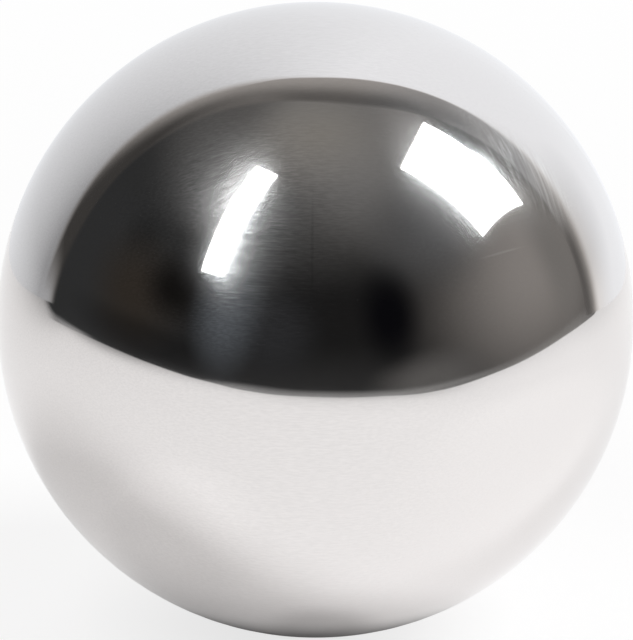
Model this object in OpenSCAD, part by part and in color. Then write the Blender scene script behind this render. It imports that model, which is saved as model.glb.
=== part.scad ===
// A solid steel ball with a polished surface.
// Millimetres, +Z up. The origin is the centre of the ball.

/* [Ball] */
// Diameter of the ball
ball_d = 50; // [5:0.5:100]

/* [Hidden] */

// Radius from the origin to the polished surface
ball_r = ball_d / 2;
// Facets round the equator when the ball is drawn as a mesh
ball_facets = 192;
// Polished steel, as a colour
steel = [0.78, 0.76, 0.75];

// The whole ball: one sphere, ground and polished from one piece of steel.
module ball() {
    color(steel)
        sphere(r = ball_r, $fn = ball_facets);
}

ball();
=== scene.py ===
import math

import bpy
from mathutils import Matrix, Vector


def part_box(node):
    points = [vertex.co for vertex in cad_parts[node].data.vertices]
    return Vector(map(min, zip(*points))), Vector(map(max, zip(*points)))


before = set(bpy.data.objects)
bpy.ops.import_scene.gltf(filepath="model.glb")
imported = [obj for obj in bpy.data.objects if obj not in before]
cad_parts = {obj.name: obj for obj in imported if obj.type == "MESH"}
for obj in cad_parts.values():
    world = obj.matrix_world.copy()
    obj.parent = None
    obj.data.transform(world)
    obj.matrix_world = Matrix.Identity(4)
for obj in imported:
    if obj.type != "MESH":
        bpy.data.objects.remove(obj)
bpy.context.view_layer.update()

# A polished steel ball on a pale oval table, in a plain studio. The polish mirrors two soft lamps overhead,
# a white backdrop behind and a dim room in front. The ball's own solid stays, and gets its finish here.

# Sizes. Lengths in the studio are written in ball radii and turned into metres by r().
BALL = "ball"
BALL_LOW, BALL_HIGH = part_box(BALL)
BALL_CENTRE = (BALL_LOW + BALL_HIGH) / 2
BALL_RADIUS = (BALL_HIGH.z - BALL_LOW.z) / 2
TABLE_Z = BALL_LOW.z

# The picture: its size, and where the ball lies in it, in pixels.
PICTURE_WIDTH_PX = 633
PICTURE_HEIGHT_PX = 640
BALL_CENTRE_X_PX = 315.7
BALL_CENTRE_Y_PX = 319.7
BALL_RADIUS_PX = 318.0

# The viewer, so many degrees above level and ball radii away.
VIEW_ELEVATION = 20
VIEW_DISTANCE = 20
SENSOR_MM = 36

# The steel. The polish and the two hazes each run between a dark and a light colour, along their lines.
POLISH_DARK = (0.685, 0.661, 0.651)
POLISH_LIGHT = (0.897, 0.871, 0.861)
POLISH_ROUGHNESS = 0.04
FINE_HAZE_DARK = (0.44, 0.48, 0.52)
FINE_HAZE_LIGHT = (0.95, 1.0, 1.0)
FINE_HAZE_ROUGHNESS = 0.15
BROAD_HAZE_DARK = (0.5, 0.5, 0.5)
BROAD_HAZE_LIGHT = (1.0, 1.0, 1.0)
BROAD_HAZE_ROUGHNESS = 0.27

# The table top, an oval turned a little. The floor behind it is white as well, inside three straight edges.
# Each edge is given by where its fade starts and ends. The floor keeps some of the ball's shadow.
TABLE_MIDDLE = (-4.4, -2.95)
TABLE_HALF_LENGTH = 14.7
TABLE_HALF_WIDTH = 7.6
TABLE_POWER = 1.8
TABLE_TURN = math.radians(14)
# Painted light: the strength of the glowing lip past the table's edge.
TABLE_LIP_GLOW = 0.3
TABLE_COLOUR = (0.513, 0.52, 0.528)
# Painted light: the colour of the glow that the table top gives, though it is no lamp.
TABLE_PAINTED_GLOW = (0.53, 0.52, 0.516)
BEHIND_FRONT = (2.0, 2.1)
BEHIND_RIGHT = (7.6, 7.4)
BEHIND_LEFT = (-10, -5.5)
BEHIND_LEFT_SLANT = 1.33
FLOOR_SIZE = 60
SHADOW_REACH = 5
SHADOW_SHARE = 0.3

# The backdrop, an upright sheet with an arch of painted light on it. The arch's middle is along the sheet
# and up.
BACKDROP_DISTANCE = 4.2
BACKDROP_TURN = math.radians(-6.3)
BACKDROP_WIDTH = 52
BACKDROP_HEIGHT = 20
ARCH_MIDDLE = (-1.0, -1.2)
ARCH_HALF_WIDTH_LEFT = 14.4
ARCH_HALF_WIDTH_RIGHT = 7.9
ARCH_HEIGHT = 11.4
ARCH_POWER_LEFT = 1.36
ARCH_POWER_RIGHT = 1.65
ARCH_WHITE = (0.98, 1.0, 1.03)
BORDER_WHITE = (1.05, 1.0, 0.95)

# The lamps. Both are as bright and as far away as each other. The box lamp's edges are drawn on its sheet.
LAMP_DISTANCE = 24
LAMP_RADIANCE = 12.0
BOX_LEFT = -5.24
BOX_RIGHT = 4.66
BOX_TOP = 7.34
BOX_LOW = -6.76
BOX_HALF_WIDTH = 5
BOX_BEND = 0.55
BOX_EDGE = 0.06

# The room's walls, its ceiling and the brighter part of it right overhead.
WALL_COLOUR = (0.012, 0.012, 0.012)
CEILING_COLOUR = (0.222, 0.219, 0.214)
OVERHEAD_COLOUR = (0.235, 0.225, 0.206)

WHITE = (1.0, 1.0, 1.0)
BLACK = (0.0, 0.0, 0.0)
UPWARDS = Vector((0, 0, 1))


def r(radii):
    """A length given in ball radii, in metres."""
    return radii * BALL_RADIUS


def direction(azimuth, elevation):
    """The unit vector to a place in the studio. Azimuth 0 is towards the viewer and 90 to their right."""
    azimuth = math.radians(azimuth)
    elevation = math.radians(elevation)
    level = math.cos(elevation)
    return Vector((math.sin(azimuth) * level, -math.cos(azimuth) * level, math.sin(elevation)))


def along(axis_turn):
    """A level unit vector, turned from the viewer's right."""
    return Vector((math.cos(axis_turn), math.sin(axis_turn), 0))


def axes_towards(azimuth, elevation, turn):
    """The ways right, up and away, for looking from the ball to a place with the head turned."""
    away = direction(azimuth, elevation)
    right = UPWARDS.cross(away).normalized()
    up = away.cross(right)
    turned = Matrix.Rotation(math.radians(turn), 3, away)
    return turned @ right, turned @ up, away


class Value:
    """A node's number output, so that sums of values add the Math nodes that work them out."""

    def __init__(self, tree, socket):
        self.tree = tree
        self.socket = socket

    def math(self, operation, *others):
        settings = {"operation": operation}
        return self.tree.value("ShaderNodeMath", settings, dict(enumerate((self, *others))))

    def __add__(self, other):
        return self.math("ADD", other)

    def __radd__(self, other):
        return self.math("ADD", other)

    def __sub__(self, other):
        return self.math("SUBTRACT", other)

    def __rsub__(self, other):
        return self.math("MULTIPLY_ADD", -1.0, other)

    def __mul__(self, other):
        return self.math("MULTIPLY", other)

    def __rmul__(self, other):
        return self.math("MULTIPLY", other)

    def __truediv__(self, other):
        return self.math("DIVIDE", other)

    def __pow__(self, other):
        return self.math("POWER", other)

    def at_least(self, other):
        return self.math("MAXIMUM", other)

    def at_most(self, other):
        return self.math("MINIMUM", other)

    def fade(self, start, end):
        """0 at start and 1 at end, with a smooth change between them."""
        settings = {"interpolation_type": "SMOOTHSTEP"}
        inputs = {"Value": self, "From Min": start, "From Max": end}
        return self.tree.value("ShaderNodeMapRange", settings, inputs)


class Tree:
    """A node tree that is filled from Python."""

    def __init__(self, owner):
        owner.use_nodes = True
        self.nodes = owner.node_tree.nodes
        self.links = owner.node_tree.links
        self.nodes.clear()

    @staticmethod
    def socket(sockets, key):
        """A socket by its number, or by its name among those in use."""
        if isinstance(key, int):
            return sockets[key]
        return next(s for s in sockets if s.enabled and s.name == key)

    def node(self, kind, settings=None, inputs=None):
        """Adds a node, makes its settings, and then gives its sockets their values or links."""
        node = self.nodes.new(kind)
        for name, setting in (settings or {}).items():
            setattr(node, name, setting)
        for key, value in (inputs or {}).items():
            socket = self.socket(node.inputs, key)
            if isinstance(value, Value):
                value = value.socket
            if isinstance(value, bpy.types.NodeSocket):
                self.links.new(value, socket)
            elif socket.type == "RGBA":
                socket.default_value = (*value, 1)
            else:
                socket.default_value = value
        return node

    def value(self, kind, settings=None, inputs=None, output=0):
        return Value(self, self.socket(self.node(kind, settings, inputs).outputs, output))

    def dot(self, vector, axis):
        """How far a vector reaches along an axis."""
        settings = {"operation": "DOT_PRODUCT"}
        return self.value("ShaderNodeVectorMath", settings, {0: vector, 1: tuple(axis)}, "Value")

    def place(self):
        """The point being shaded, in metres from the frame's origin, where every object sits."""
        return self.node("ShaderNodeTexCoord").outputs["Object"]

    def outward(self):
        """The unit vector from the ball's middle to the point being shaded."""
        inputs = {0: self.place(), 1: tuple(BALL_CENTRE)}
        from_middle = self.node("ShaderNodeVectorMath", {"operation": "SUBTRACT"}, inputs).outputs[0]
        return self.node("ShaderNodeVectorMath", {"operation": "NORMALIZE"}, {0: from_middle}).outputs[0]

    def distance(self, place, axis, start=(0, 0, 0)):
        """How far the place is along an axis, in ball radii. The start is given from the ball's middle."""
        point = BALL_CENTRE + Vector(start) * BALL_RADIUS
        return (self.dot(place, axis) - point.dot(axis)) / BALL_RADIUS

    def spot(self, place, middle, radius, softness):
        """1 inside a soft-edged ball of space and 0 outside. Its middle and radius are in ball radii."""
        centre = BALL_CENTRE + Vector(middle) * BALL_RADIUS
        inputs = {0: place, 1: tuple(centre)}
        far = self.value("ShaderNodeVectorMath", {"operation": "DISTANCE"}, inputs, "Value")
        return far.fade(r(radius * (1 + softness)), r(radius * (1 - softness)))

    def oval(self, way, azimuth, elevation, half_width, half_height, softness, turn=0):
        """1 where a unit vector points into a soft oval and 0 outside. Places and sizes are in degrees.

        The softness is the share of its size over which it fades, to each side of its edge.
        """
        right, up, away = axes_towards(azimuth, elevation, turn)
        across = self.dot(way, right) / math.radians(half_width)
        along_up = self.dot(way, up) / math.radians(half_height)
        # Just over 1, because right behind the oval's middle it would otherwise divide by 0.
        just_over_one = 1.0001
        spread = (across * across + along_up * along_up) * 2 / (self.dot(way, away) + just_over_one)
        return (spread**0.5).fade(1 + softness, 1 - softness)

    def streaks(self, way, azimuth, elevation, turn, cells_along, cells_across):
        """Fine lines on the ball, from 0 to 1, with so many cells per radius along and across them."""
        right, up, away = axes_towards(azimuth, elevation, turn)
        axes = (right * cells_along, up * cells_across, away * cells_across)
        parts = {number: self.dot(way, axis) for number, axis in enumerate(axes)}
        cells = self.node("ShaderNodeCombineXYZ", inputs=parts).outputs[0]
        inputs = {"Vector": cells, "Scale": 1.0, "Detail": 3.0, "Roughness": 0.6}
        return self.value("ShaderNodeTexNoise", inputs=inputs).fade(0.3, 0.7)

    def mix(self, factor, first, second):
        """A colour between two others."""
        inputs = {"Factor": factor, "A": first, "B": second}
        node = self.node("ShaderNodeMix", {"data_type": "RGBA"}, inputs)
        return self.socket(node.outputs, "Result")

    def metal(self, colour, roughness):
        inputs = {"Base Color": colour, "Metallic": 1.0, "Roughness": roughness}
        return self.node("ShaderNodeBsdfPrincipled", inputs=inputs)

    def light(self, colour):
        return self.node("ShaderNodeEmission", inputs={"Color": colour, "Strength": 1.0})

    def clear(self):
        return self.node("ShaderNodeBsdfTransparent")

    def shader_mix(self, factor, first, second):
        inputs = {0: factor, 1: first.outputs[0], 2: second.outputs[0]}
        return self.node("ShaderNodeMixShader", inputs=inputs)

    def finish(self, kind, shader):
        self.node(kind, inputs={"Surface": shader.outputs[0]})


def blend(first, second, share):
    """A number that goes from the first to the second as the share goes from 0 to 1."""
    return first + (second - first) * share


def haze_lines(tree, outward, steep_lines):
    """The lines in the hazes: level, but slanted at the upper left, steep at the right and faint between."""
    level_lines = tree.streaks(outward, -10, 30, 0, 9, 220)
    slant_lines = tree.streaks(outward, -28, 45, 32, 14, 260)
    lines = blend(level_lines, slant_lines, tree.oval(outward, -27, 45, 8, 8, 0.5))
    lines = blend(lines, steep_lines, tree.oval(outward, 56.5, 39, 6, 11, 0.4, 20))
    smoother = tree.oval(outward, 29, 38, 9, 13, 0.4, 30) * 0.6
    return blend(lines, 0.5, smoother)


def fine_haze(tree, outward, steep_lines):
    """Where the fine haze lies: in patches by the mirrored lamps, and a little of it all over."""
    strip_side = tree.oval(outward, -12, 31, 6, 10, 0.6, -19) * 0.27
    strip_foot = tree.oval(outward, -15, 26, 4, 4.5, 0.8) * 0.04
    strip_corner = tree.oval(outward, -16, 25, 2, 3, 0.9) * 0.15
    strip_top = tree.oval(outward, -15, 49, 3.5, 3.5, 0.7) * 0.05
    box_left = tree.oval(outward, 28, 37, 6.5, 9, 0.35, 30) * 0.11
    box_right = tree.oval(outward, 50, 47, 5, 9, 0.35, 30) * (steep_lines * 0.14 + 0.08)
    far_right = tree.oval(outward, 59, 37.5, 5, 9, 0.5, 20) * (steep_lines * 0.2 + 0.11)
    all_over = 0.02
    return strip_side + strip_foot + strip_top + strip_corner + box_left + box_right + far_right + all_over


def broad_haze(tree, outward):
    """Where the broad haze lies: in wider patches by the mirrored lamps, and a trace of it all over."""
    strip = (
        tree.oval(outward, -26, 46, 8.5, 8.5, 0.7) * 0.33
        + tree.oval(outward, -12, 31, 9, 10, 0.7) * 0.115
        + tree.oval(outward, -14.5, 25, 5, 6, 0.8) * 0.11
        + tree.oval(outward, -16.5, 23.8, 1.8, 3.5, 0.9) * 0.1
    )
    box_left = tree.oval(outward, 28, 37, 8, 10, 0.6) * 0.09
    box_top = tree.oval(outward, 25, 51, 4, 4, 0.8) * 0.05 + tree.oval(outward, 31, 57, 4, 4, 0.8) * 0.05
    box_right = tree.oval(outward, 55, 40, 6, 11, 0.6, 15) * 0.05
    box_corner = tree.oval(outward, 50, 33, 5, 5, 0.8) * 0.03
    all_over = 0.008
    return strip + box_left + box_top + box_right + box_corner + all_over


def polish_colour(tree, outward, steep_lines):
    """The polish: a faint grain that is clearest by the strip lamp and steep at the right, and scratches."""
    rubbed = tree.oval(outward, 55, 39, 4.5, 10, 0.4, 20)
    grain = blend(tree.streaks(outward, 0, 30, 0, 30, 190), steep_lines, rubbed)
    left_side = tree.dot(outward, direction(-50, 20)).fade(-0.1, 0.7)
    by_strip = tree.oval(outward, -18, 34, 20, 20, 0.4)
    strength = 0.05 + left_side * 0.15 + by_strip * 0.75 + rubbed * 0.6
    colour = tree.mix(0.5 + (grain - 0.5) * strength, POLISH_DARK, POLISH_LIGHT)
    dark_scratch = tree.oval(outward, -0.7, 32.5, 0.25, 7.6, 0.6)
    colour = tree.mix(dark_scratch * 0.14, colour, BLACK)
    light_scratch = tree.oval(outward, 39.6, 27.7, 3.8, 0.2, 0.6)
    specks = (
        tree.oval(outward, -0.4, 29.7, 0.22, 0.4, 0.6)
        + tree.oval(outward, 13, 29.5, 0.25, 0.3, 0.6)
        + tree.oval(outward, 5.8, 23.8, 0.35, 0.4, 0.6)
    )
    return tree.mix((light_scratch + specks * 0.5) * 0.5, colour, WHITE)


def steel(tree):
    """Polished steel: a near mirror, with a haze of fine rubbing marks that is stronger in some places."""
    outward = tree.outward()
    steep_lines = tree.streaks(outward, 57, 37, 76, 4, 100)
    lines = haze_lines(tree, outward, steep_lines)
    polish = tree.metal(polish_colour(tree, outward, steep_lines), POLISH_ROUGHNESS)
    fine = tree.metal(tree.mix(lines, FINE_HAZE_DARK, FINE_HAZE_LIGHT), FINE_HAZE_ROUGHNESS)
    broad = tree.metal(tree.mix(lines, BROAD_HAZE_DARK, BROAD_HAZE_LIGHT), BROAD_HAZE_ROUGHNESS)
    hazed = tree.shader_mix(fine_haze(tree, outward, steep_lines), polish, fine)
    hazed = tree.shader_mix(broad_haze(tree, outward), hazed, broad)
    tree.finish("ShaderNodeOutputMaterial", hazed)


class TablePlace:
    """Where a point of the floor lies, in ball radii, from the ball and from the table's middle."""

    def __init__(self, tree):
        self.place = tree.place()
        middle = (*TABLE_MIDDLE, 0)
        self.right = tree.distance(self.place, along(0))
        self.back = tree.distance(self.place, along(math.pi / 2))
        self.length = tree.distance(self.place, along(TABLE_TURN), middle)
        self.width = tree.distance(self.place, along(TABLE_TURN + math.pi / 2), middle)


def table_rim(at):
    """1 on the table's edge and less inside it. The edge swells at the left and has two dents in front."""
    ovals = [
        (part.math("ABSOLUTE") / half) ** TABLE_POWER
        for part, half in ((at.length, TABLE_HALF_LENGTH), (at.width, TABLE_HALF_WIDTH))
    ]
    left_swell = at.length.fade(-6.5, -13) * 0.085
    back_left_swell = at.width.fade(0, 4) * at.length.fade(-3.5, -7) * 0.045
    middle_dent = at.length.fade(-5.5, -1.8) * at.length.fade(3, -0.3) * 0.085
    right_dent = at.length.fade(6, 7.8) * at.length.fade(12, 8.5) * 0.065
    dents = (middle_dent + right_dent) * at.width.fade(0, -4)
    return (ovals[0] + ovals[1]) ** (1 / TABLE_POWER) - (left_swell + back_left_swell) + dents


def table_top(at, rim):
    """1 on the table top and on the white floor behind it, and 0 past them."""
    behind = (
        at.back.fade(*BEHIND_FRONT)
        * at.right.fade(*BEHIND_RIGHT)
        * (at.right + at.back * BEHIND_LEFT_SLANT).fade(*BEHIND_LEFT)
    )
    softness = 0.005 + at.length.fade(-4, -8) * at.width.fade(2, 6) * 0.03
    return rim.fade(1 + softness, 1 - softness).at_least(behind)


def painted_table_lip(at, rim):
    """How bright the lip of painted light round the table is: most along the front, and a little at both
    ends.
    """
    reach = (1.75 - at.length * 0.035).at_least(1.2)
    brightest = 0.85
    front = ((reach - rim) / (reach - brightest)).fade(0, 1) * at.width.fade(-4, -7)
    front = front * (0.06 + at.length.fade(-9, -2.5) * 0.94) * TABLE_LIP_GLOW
    right_end = at.length.fade(9, 13) * 0.1
    back_left = at.width.fade(4, 7) * at.length.fade(-4, -8) * 0.3
    end_reach = 1.5
    ends = ((end_reach - rim) / (end_reach - 1)).fade(0, 1) ** 2 * (right_end + back_left)
    return front + ends


def painted_table_shade(tree, at, rim):
    """Painted shade on the table top: less light by the backdrop, far from the ball, at its edge and at the
    foot.
    """
    far_left = at.right.fade(-11, -20) * 0.32
    by_backdrop = at.back.fade(0.5, 3.5)
    behind_left = by_backdrop * at.right.fade(-2, -11) * 0.3
    behind_right = by_backdrop * at.right.fade(2, 7) * 0.1
    round_ball = tree.spot(at.place, (-3, 0, -1), 9.5, 0.37)
    front = at.length.fade(-1, 3) * at.length.fade(10.5, 8)
    edge = rim.fade(0.78, 1.02) * (0.03 + front * 0.15) + rim.fade(0.5, 0.8) * front * 0.035
    # Painted shadow round the ball's foot, at its front left and right in front of it.
    left_foot_shadow = tree.spot(at.place, (-0.75, -0.6, -1), 0.42, 0.45) * 0.075
    foot = tree.spot(at.place, (0, 0, -1), 0.38, 0.35) * 0.64
    front_foot_shadow = tree.spot(at.place, (0.02, -0.44, -1), 0.17, 0.5) * 0.2
    shade = (1 - far_left) * (1 - behind_left) * (1 - behind_right) * (0.8 + round_ball * 0.2)
    shade = shade * (1 - edge * at.back.fade(3, 1))
    return shade * (1 - left_foot_shadow) * (1 - foot) * (1 - front_foot_shadow)


def painted_table_glow(tree, at):
    """The table top's painted glow: with painted shade round the ball's foot, and more in front of it at
    both sides.
    """
    foot = tree.spot(at.place, (-0.2, -0.15, -1), 0.415, 0.88)
    near_right = tree.spot(at.place, (2.5, -0.65, -1), 1.75, 0.45)
    near_left = tree.spot(at.place, (-1.05, -1.2, -1), 0.55, 0.5)
    return (1 - foot * 0.57) * (0.91 + (near_right + near_left) * 0.085)


def table_white(tree):
    """Matt white with a painted glow and painted shade. Seen straight, it is an even white with the ball's
    shadow on it.
    """
    seen_straight = Value(tree, tree.node("ShaderNodeLightPath").outputs["Is Camera Ray"])
    at = TablePlace(tree)
    rim = table_rim(at)
    shade = painted_table_shade(tree, at, rim).at_least(seen_straight)
    matt = tree.node(
        "ShaderNodeBsdfPrincipled",
        inputs={
            "Base Color": tree.mix(shade, BLACK, TABLE_COLOUR),
            "Roughness": 1.0,
            "Specular IOR Level": 0.0,
            "Emission Color": tree.mix(shade * painted_table_glow(tree, at), BLACK, TABLE_PAINTED_GLOW),
            "Emission Strength": 1.0,
        },
    )
    white = tree.light(WHITE)
    # Past the table's edge, a lip of painted light where there is one, and clear past it.
    past_edge = tree.shader_mix(painted_table_lip(at, rim), tree.clear(), white)
    mirrored = tree.shader_mix(table_top(at, rim), past_edge, matt)
    shadow = tree.spot(at.place, (0, 0, -1), SHADOW_REACH, 0.8) * SHADOW_SHARE
    shown = tree.shader_mix(seen_straight * (1 - shadow), mirrored, white)
    tree.finish("ShaderNodeOutputMaterial", shown)


def arch_rim(side, high, half_width, power):
    """1 on the edge of one side of the arch and less inside it."""
    wide = side.at_least(0.0) / half_width
    return (wide**power + high**power) ** (1 / power)


def arch_light(right, up, left_rim, right_rim):
    """1 on the lit arch and on its foot at the left, and 0 past them. Its edges are softer low down."""
    lower = up.fade(7, 1)
    edge = 0.982
    softness = 0.012 + lower * 0.066
    right_side = (right_rim - lower * 0.02).fade(edge + softness, edge - softness)
    edge = 1.02
    softness = 0.09 + up.fade(4, 0) * 0.04
    left_side = (left_rim + up.fade(5, 0) * 0.03).fade(edge + softness, edge - softness)
    foot = up.fade(3, -1) * right.fade(-25, -15) * right.fade(3, 0)
    return right_side.at_most(left_side).at_least(foot)


def arch_level(right, up):
    """How bright the arch is: most a little to the right of its middle, and least at the far left."""
    level = (right * 0.052 + 0.95).at_most(1.25 - right * 0.06).at_least(0.34)
    foot = up.fade(0.5, -1)
    low_right = right.fade(1, 7) * up.fade(3, 1) * (1 - foot)
    return level * (1 - low_right * 0.22) + foot * right.fade(4, -8) * 0.08


def border_level(right, up, near_arch, right_side):
    """How bright the dim border is: a little more near the arch and towards the right."""
    far_right = right.fade(3, 8) * up.fade(1, 4) * up.fade(11, 8.5) * 0.17
    upper_right = right.fade(2, 5) * up.fade(5.8, 7.5) * 0.06
    upper_left = right.fade(-1, -5) * up.fade(11, 15) * 0.05
    streak = right.fade(5, 6.5) * right.fade(9.5, 7.3) * up.fade(1.5, 3) * up.fade(8, 5.5) * 0.1
    by_arch = near_arch * right.fade(-14, -6) * (0.225 - right_side * 0.06 - upper_right)
    return 0.045 + right.fade(-12, -2) * 0.065 + far_right + by_arch + upper_left + streak


def backdrop_painted_light(tree):
    """A soft arch of painted white light, weaker to the left, in a dim painted border. The rest can't be
    seen.
    """
    place = tree.place()
    right = tree.distance(place, along(BACKDROP_TURN))
    up = tree.distance(place, UPWARDS)
    high = (up - ARCH_MIDDLE[1]) / ARCH_HEIGHT
    right_rim = arch_rim(right - ARCH_MIDDLE[0], high, ARCH_HALF_WIDTH_RIGHT, ARCH_POWER_RIGHT)
    left_rim = arch_rim(ARCH_MIDDLE[0] - right, high, ARCH_HALF_WIDTH_LEFT, ARCH_POWER_LEFT)
    rim = right_rim.at_least(left_rim)
    arch = arch_light(right, up, left_rim, right_rim)
    right_side = right.fade(2, 9)
    border_rim = 1.75 - right_side * 0.5
    border = ((border_rim - rim) / (0.13 - right_side * 0.08)).fade(-1, 1) * right.fade(-24, -18)
    near_arch = ((border_rim - rim) / (border_rim - 1)).fade(0, 1) ** 2.8
    brightness = blend(border_level(right, up, near_arch, right_side), arch_level(right, up), arch)
    cool_arch = arch * (1 - right.fade(4, 8) * 0.8)
    cool = cool_arch.at_least(right.fade(1, 5) * up.fade(1, 5) * 0.6)
    colour = tree.mix(brightness, BLACK, tree.mix(cool, BORDER_WHITE, ARCH_WHITE))
    shown = arch.at_least(border)
    tree.finish("ShaderNodeOutputMaterial", tree.shader_mix(shown, tree.clear(), tree.light(colour)))


def finish_material(name, fill):
    material = bpy.data.materials.new(name)
    fill(Tree(material))
    return material


def deselect():
    for thing in bpy.context.selected_objects:
        thing.select_set(False)


def stage_piece(name, material):
    """Takes the new primitive as a stage piece."""
    piece = bpy.context.object
    piece.name = name
    piece.data.materials.append(material)
    bpy.ops.object.transform_apply(location=True, rotation=True, scale=True)
    return piece


def make_floor():
    """The level sheet that the table top is painted on. Past the table's edge it can't be seen."""
    deselect()
    bpy.ops.mesh.primitive_plane_add(size=r(FLOOR_SIZE), location=(0, 0, TABLE_Z))
    stage_piece("floor", finish_material("table_white", table_white))


def make_backdrop():
    """An upright sheet behind the ball, standing on the table."""
    deselect()
    bpy.ops.mesh.primitive_plane_add(size=1)
    sheet = bpy.context.object
    sheet.scale = (r(BACKDROP_WIDTH), r(BACKDROP_HEIGHT), 1)
    sheet.rotation_euler = (math.pi / 2, 0, BACKDROP_TURN)
    sheet.location = (0, r(BACKDROP_DISTANCE) / math.cos(BACKDROP_TURN), TABLE_Z + r(BACKDROP_HEIGHT) / 2)
    backdrop = stage_piece("backdrop", finish_material("backdrop_painted_light", backdrop_painted_light))
    backdrop.visible_camera = False
    backdrop.visible_diffuse = False
    backdrop.visible_shadow = False


def box_outline(right, up):
    """1 on the box lamp's front and 0 past its edges: no two are quite square, and the lowest bends in."""
    left_edge = (right + up * 0.03 - BOX_LEFT).fade(0, BOX_EDGE)
    right_edge = (BOX_RIGHT + up.fade(1.5, -1) * 0.75 - right).fade(0, BOX_EDGE)
    top_edge = (BOX_TOP - up - right * 0.06).fade(0, BOX_EDGE)
    share = right / BOX_HALF_WIDTH
    bend = (1 - share * share) * BOX_BEND
    low_edge = (up - BOX_LOW + right * 0.09 - bend).fade(0, BOX_EDGE)
    return left_edge * right_edge * top_edge * low_edge


def make_lamp(name, azimuth, elevation, turn, width, height, outline=None):
    """A soft lamp that faces the ball. An outline, if it has one, masks a part of its light."""
    light = bpy.data.lights.new(name, "AREA")
    light.shape = "RECTANGLE"
    light.size = r(width)
    light.size_y = r(height)
    light.energy = LAMP_RADIANCE * math.pi * light.size * light.size_y
    lamp = bpy.data.objects.new(name, light)
    bpy.context.scene.collection.objects.link(lamp)
    lamp.visible_camera = False
    right, up, away = axes_towards(azimuth, elevation, turn)
    axes = Matrix((right, up, away)).transposed()
    lamp.matrix_world = Matrix.Translation(BALL_CENTRE + away * r(LAMP_DISTANCE)) @ axes.to_4x4()
    if outline:
        tree = Tree(light)
        place = tree.node("ShaderNodeNewGeometry").outputs["Parametric"]
        across = tree.dot(place, (width, 0, 0)) - width / 2
        upwards = tree.dot(place, (0, height, 0)) - height / 2
        tree.finish("ShaderNodeOutputLight", tree.light(tree.mix(outline(across, upwards), BLACK, WHITE)))


class Room:
    """The dim room around the table, painted by direction: soft ovals, each over those before it."""

    def __init__(self, tree, colour):
        self.tree = tree
        self.looking = tree.node("ShaderNodeTexCoord").outputs["Generated"]
        self.colour = colour

    def ceiling(self, colour, start, end=95):
        """Comes in between two elevations, in degrees."""
        elevation = self.tree.dot(self.looking, UPWARDS).math("ARCSINE") / math.radians(1)
        self.colour = self.tree.mix(elevation.fade(start, end), self.colour, colour)

    def oval(self, azimuth, elevation, half_width, half_height, softness, colour, share=1):
        """Covers what is under it, or lets a part of it through where the share is less than 1."""
        mask = self.tree.oval(self.looking, azimuth, elevation, half_width, half_height, softness)
        self.colour = self.tree.mix(mask * share, self.colour, colour)


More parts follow.
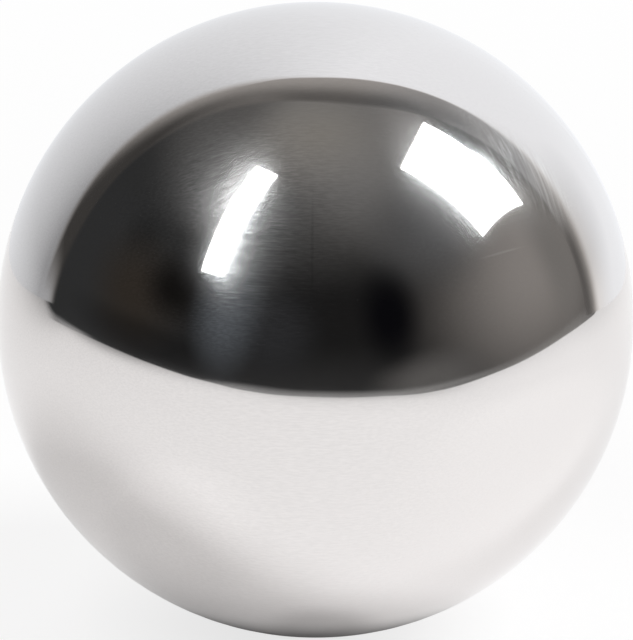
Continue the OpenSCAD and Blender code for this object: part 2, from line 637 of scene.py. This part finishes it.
def make_room():
    """The room's ovals go by azimuth, elevation, half width, half height, softness and colour."""
    world = bpy.data.worlds.new("room")
    bpy.context.scene.world = world
    tree = Tree(world)
    room = Room(tree, WALL_COLOUR)
    room.ceiling(CEILING_COLOUR, 25)
    room.ceiling(OVERHEAD_COLOUR, 62)
    # Below the table's front edge.
    room.oval(0, -8, 45, 12, 0.8, (0.027, 0.027, 0.027))
    # The left side, from over the backdrop round to the front.
    room.oval(-122, 60, 16, 12, 0.8, (0.108, 0.106, 0.103))
    room.oval(-98, 16, 42, 34, 0.8, (0.031, 0.032, 0.033))
    room.oval(-80, 29, 7, 6, 0.8, BLACK, 0.3)
    room.oval(-72, 15, 15, 12, 0.8, (0.032, 0.027, 0.022))
    room.oval(-56, 22, 10, 8, 0.8, (0.006, 0.0055, 0.005))
    room.oval(-63, 3, 26, 5, 0.6, BLACK, 0.4)
    room.oval(-18, 47, 12, 18, 0.8, BLACK, 0.27)
    room.oval(-15, 14, 11, 12, 0.8, (0.026, 0.027, 0.029))
    room.oval(-34, 18.5, 8.5, 14.5, 0.9, (0.09, 0.1, 0.112))
    # The right side, with the pale wall under the box lamp and the dark gap beside it.
    room.oval(92, 14.5, 32, 23, 0.9, (0.262, 0.247, 0.234))
    room.oval(106, 12, 8, 16, 0.8, (0.195, 0.187, 0.178))
    room.oval(55, 59, 18, 16, 0.8, (0.26, 0.259, 0.256), 0.28)
    room.oval(56, 42, 16, 14, 0.8, (0.079, 0.08, 0.082))
    room.oval(42, -6, 16, 8, 0.7, (0.11, 0.107, 0.104))
    room.oval(28, 19, 8.5, 13, 0.7, (0.003, 0.003, 0.004))
    room.oval(117, 62, 17, 9, 0.8, (0.215, 0.21, 0.205))
    rays = tree.node("ShaderNodeLightPath")
    seen = tree.mix(rays.outputs["Is Camera Ray"], room.colour, WHITE)
    background = tree.node("ShaderNodeBackground", inputs={"Color": seen, "Strength": 1.0})
    tree.finish("ShaderNodeOutputWorld", background)


def make_camera():
    """Stands so that the ball's outline has its size and place in the picture."""
    back = direction(0, VIEW_ELEVATION)
    right = Vector((1, 0, 0))
    up = back.cross(right)
    camera = bpy.data.cameras.new("camera")
    camera.sensor_width = SENSOR_MM
    half_angle = math.asin(1 / VIEW_DISTANCE)
    longest = max(PICTURE_WIDTH_PX, PICTURE_HEIGHT_PX)
    camera.lens = SENSOR_MM * BALL_RADIUS_PX / longest / math.tan(half_angle)
    viewer = bpy.data.objects.new("camera", camera)
    bpy.context.scene.collection.objects.link(viewer)
    pixel = BALL_RADIUS / BALL_RADIUS_PX
    aside = (PICTURE_WIDTH_PX / 2 - BALL_CENTRE_X_PX) * pixel
    above = (BALL_CENTRE_Y_PX - PICTURE_HEIGHT_PX / 2) * pixel
    place = BALL_CENTRE + back * r(VIEW_DISTANCE) + right * aside + up * above
    viewer.matrix_world = Matrix.Translation(place) @ Matrix((right, up, back)).transposed().to_4x4()
    bpy.context.scene.camera = viewer


make_camera()
make_room()
make_floor()
make_backdrop()
make_lamp("lamp_strip", azimuth=-44.0, elevation=49.8, turn=2.8, width=3.55, height=16.8)
make_lamp("lamp_box", azimuth=92.6, elevation=45.0, turn=-7.6, width=11.6, height=15.4, outline=box_outline)

polished_steel = finish_material("polished_steel", steel)
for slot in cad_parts[BALL].material_slots:
    slot.material = polished_steel

bpy.context.scene.view_settings.view_transform = "Standard"
